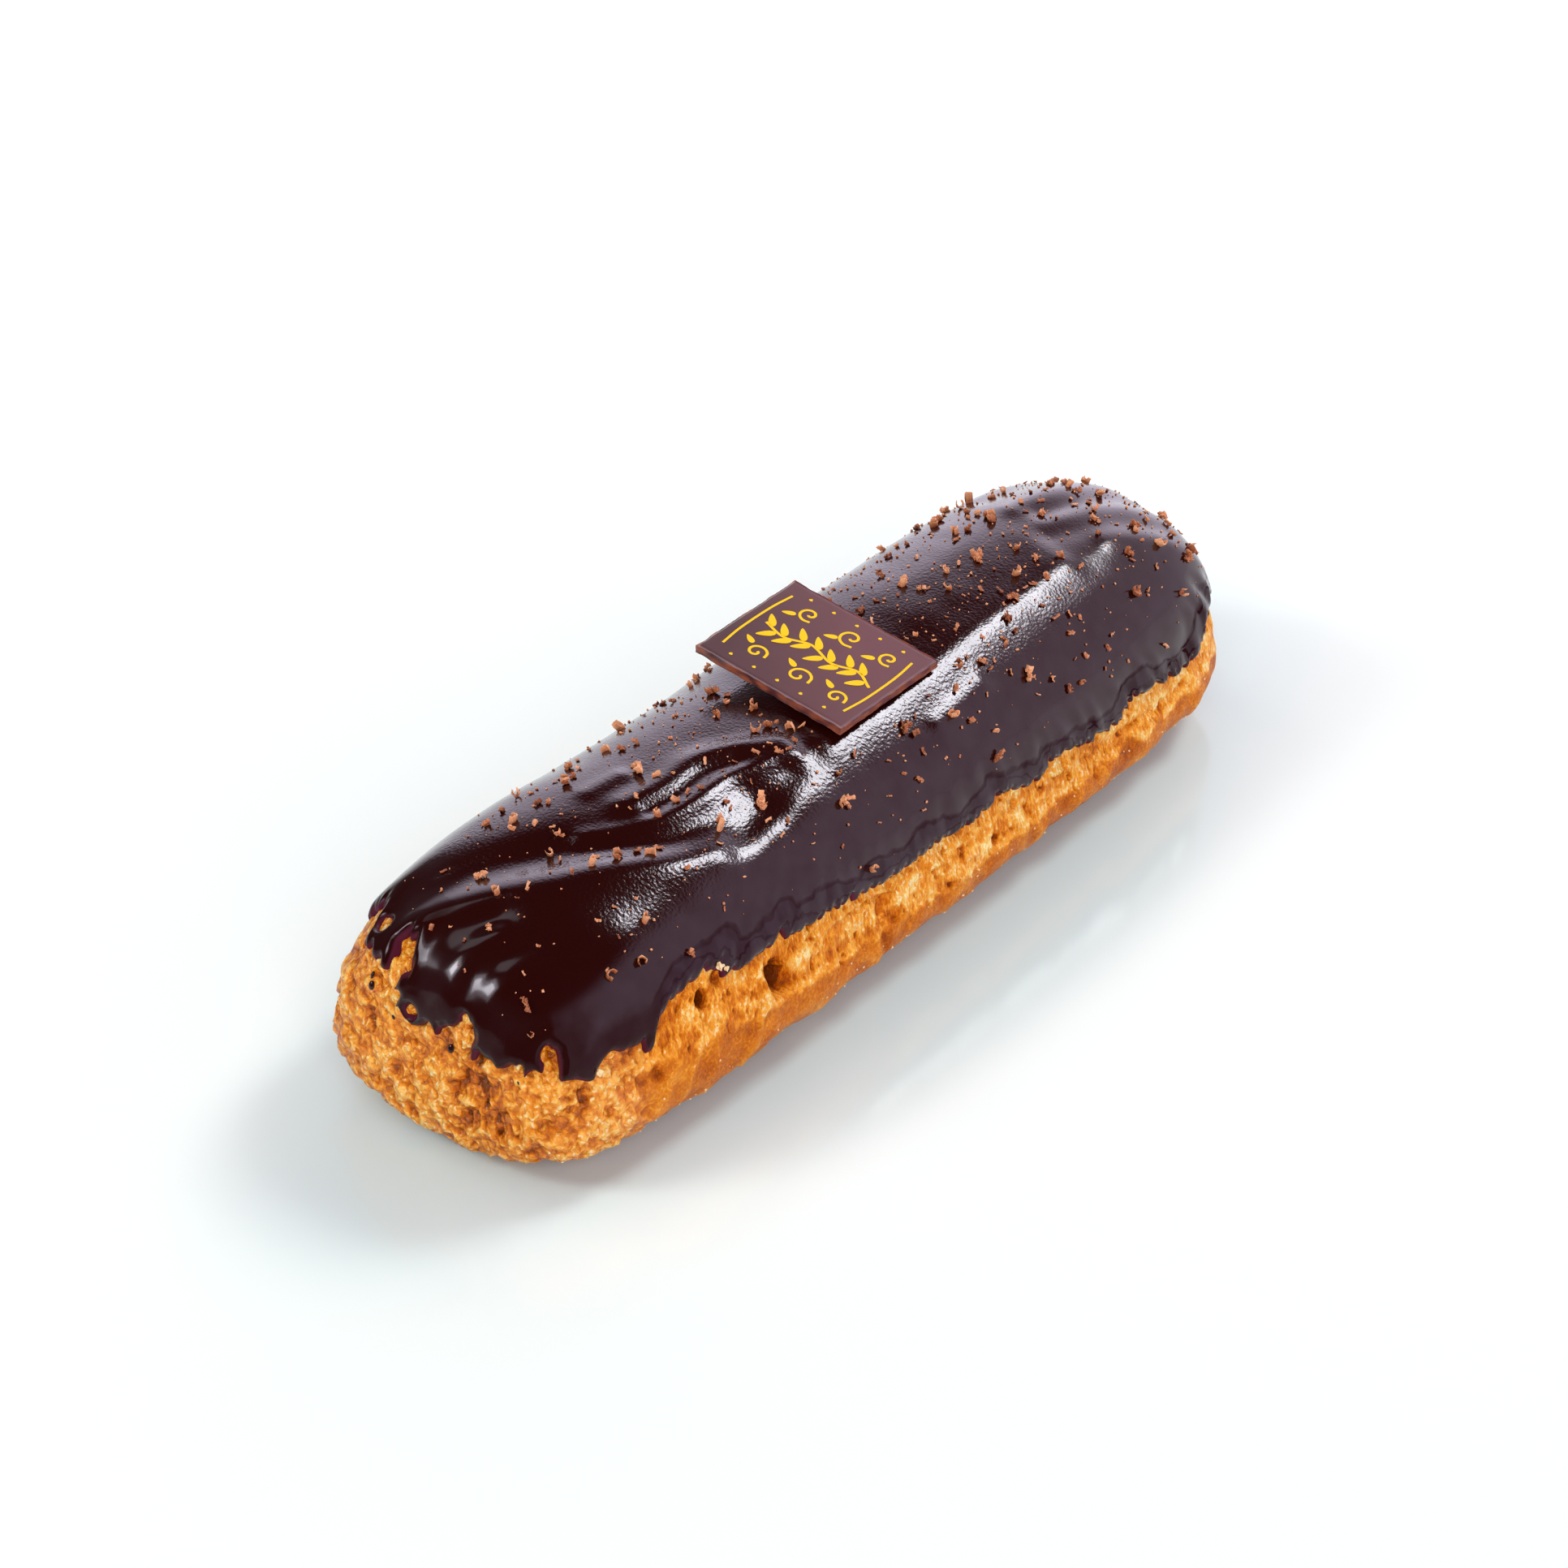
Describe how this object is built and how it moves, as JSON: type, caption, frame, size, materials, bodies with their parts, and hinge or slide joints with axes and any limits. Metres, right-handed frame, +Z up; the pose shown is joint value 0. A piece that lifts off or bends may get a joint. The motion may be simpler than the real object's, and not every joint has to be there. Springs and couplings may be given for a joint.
{
  "type": "chocolate eclair",
  "caption": "Long filled choux pastry with chocolate glaze on top, scattered chocolate crumbs and a thin chocolate plaque.",
  "frame": {"origin": "middle of the flat base, under the middle of the eclair's length", "axes": "+X along the eclair's length towards its far end, +Y across it to the left, +Z up"},
  "size_m": [0.1456, 0.0451, 0.0366],
  "materials": {
    "choux": "browned, finely wrinkled baked crust",
    "glaze": "dark chocolate glaze, satin gloss",
    "plaque": "moulded chocolate, satin"
  },
  "bodies": {
    "root": {"choux_shell": "choux", "chocolate_glaze": "glaze", "chocolate_plaque": "plaque"}
  },
  "joints": []
}
